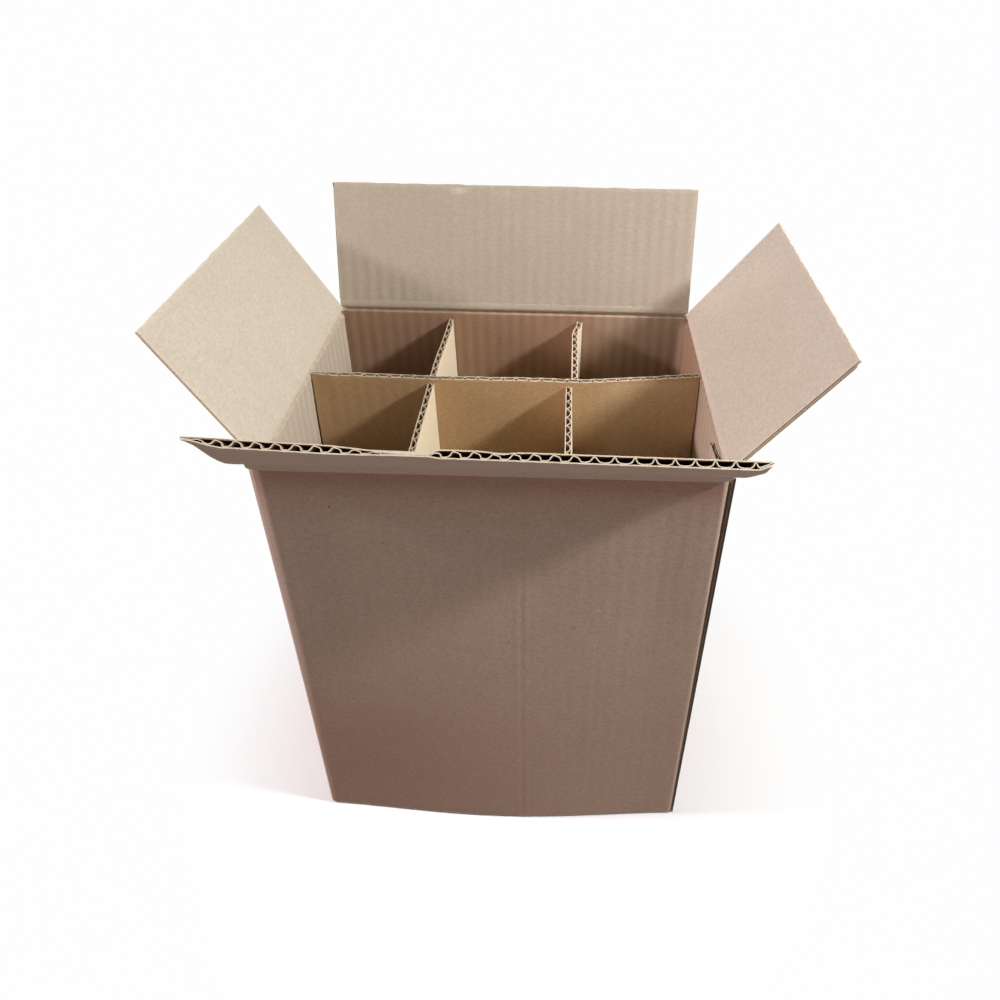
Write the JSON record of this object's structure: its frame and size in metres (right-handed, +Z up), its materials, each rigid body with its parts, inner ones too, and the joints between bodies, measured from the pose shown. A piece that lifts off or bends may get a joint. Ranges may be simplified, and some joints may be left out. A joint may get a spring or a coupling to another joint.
{
  "type": "bottle shipping box",
  "caption": "Open corrugated shipping box with a hinged flap along each top edge and a slotted divider that parts the inside into bottle cells.",
  "frame": {"origin": "middle of the base, on the surface the box stands on", "axes": "+X along the long side, +Y from the front wall to the back wall, +Z up"},
  "size_m": [0.3556, 0.2451, 0.4193],
  "materials": {
    "kraft_board": "matte kraft liner",
    "divider_board": "matte kraft liner"
  },
  "bodies": {
    "box": {"carton": "kraft_board", "long_divider": "divider_board", "left_cross_divider": "divider_board", "right_cross_divider": "divider_board"},
    "front_flap": {"front_flap": "kraft_board"},
    "back_flap": {"back_flap": "kraft_board"},
    "left_flap": {"left_flap": "kraft_board"},
    "right_flap": {"right_flap": "kraft_board"}
  },
  "joints": [
    {"name": "front_flap_hinge", "type": "hinge", "parent": "box", "child": "front_flap", "pos_m": [-0.00075, -0.08915, 0.33075], "axis": [1, 0, 0], "range_deg": [-135.5, 126.5]},
    {"name": "back_flap_hinge", "type": "hinge", "parent": "box", "child": "back_flap", "pos_m": [0, 0.08915, 0.33075], "axis": [-1, 0, 0], "range_deg": [-92.5, 169.5]},
    {"name": "left_flap_hinge", "type": "hinge", "parent": "box", "child": "left_flap", "pos_m": [-0.12915, 0, 0.32645], "axis": [0, -1, 0], "range_deg": [-120, 142]},
    {"name": "right_flap_hinge", "type": "hinge", "parent": "box", "child": "right_flap", "pos_m": [0.12915, 0, 0.32645], "axis": [0, 1, 0], "range_deg": [-127, 135]}
  ]
}
